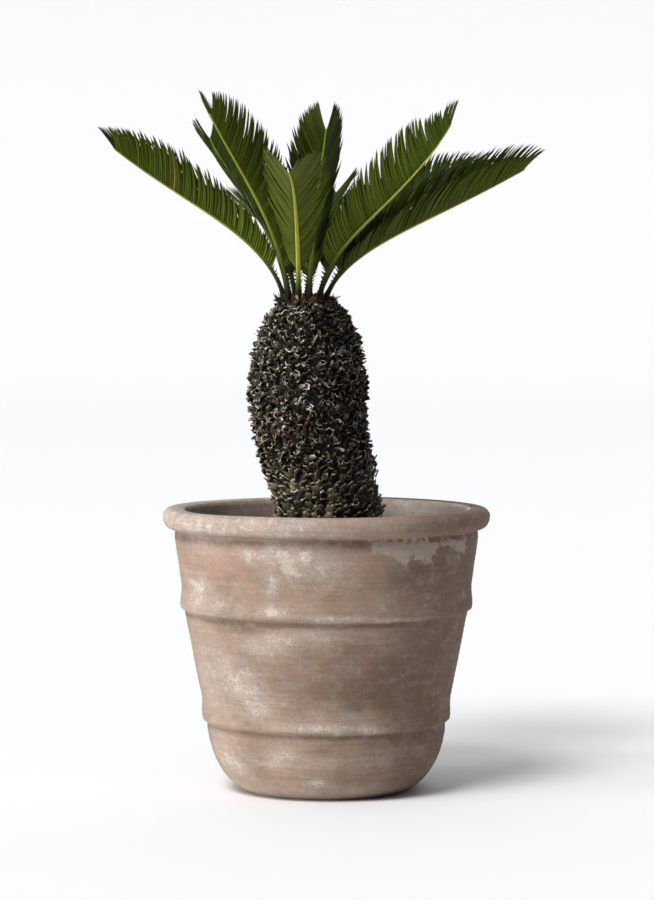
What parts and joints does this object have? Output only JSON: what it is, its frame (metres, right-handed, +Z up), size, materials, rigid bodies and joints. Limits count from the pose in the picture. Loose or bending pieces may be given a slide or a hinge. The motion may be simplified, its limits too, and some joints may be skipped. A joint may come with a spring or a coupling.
{
  "type": "potted sago palm",
  "caption": "Young sago palm with a leaning scaly trunk and an open crown of arching feather fronds, in a banded round clay pot with a rolled rim.",
  "frame": {"origin": "middle of the pot's flat underside, on the floor", "axes": "+Z up through the pot, +X to the right-hand side of the front view, -Y towards the viewer"},
  "size_m": [0.4664, 0.5182, 0.76],
  "materials": {
    "clay": "weathered unglazed terracotta with lime bloom",
    "soil": "damp potting soil",
    "bark": "rough dry leaf-base scales",
    "bud": "woolly brown bud scales",
    "leaf": "glossy dark green leaflets"
  },
  "bodies": {
    "root": {"pot": "clay", "soil": "soil", "trunk": "bark", "crown_bud": "bud", "frond_left": "leaf", "frond_upper_left": "leaf", "frond_front": "leaf", "frond_front_tall": "leaf", "frond_upper_right": "leaf", "frond_right": "leaf", "frond_far_right": "leaf", "frond_back_right": "leaf", "frond_back": "leaf", "frond_rear_left": "leaf", "frond_back_left": "leaf"}
  },
  "joints": []
}
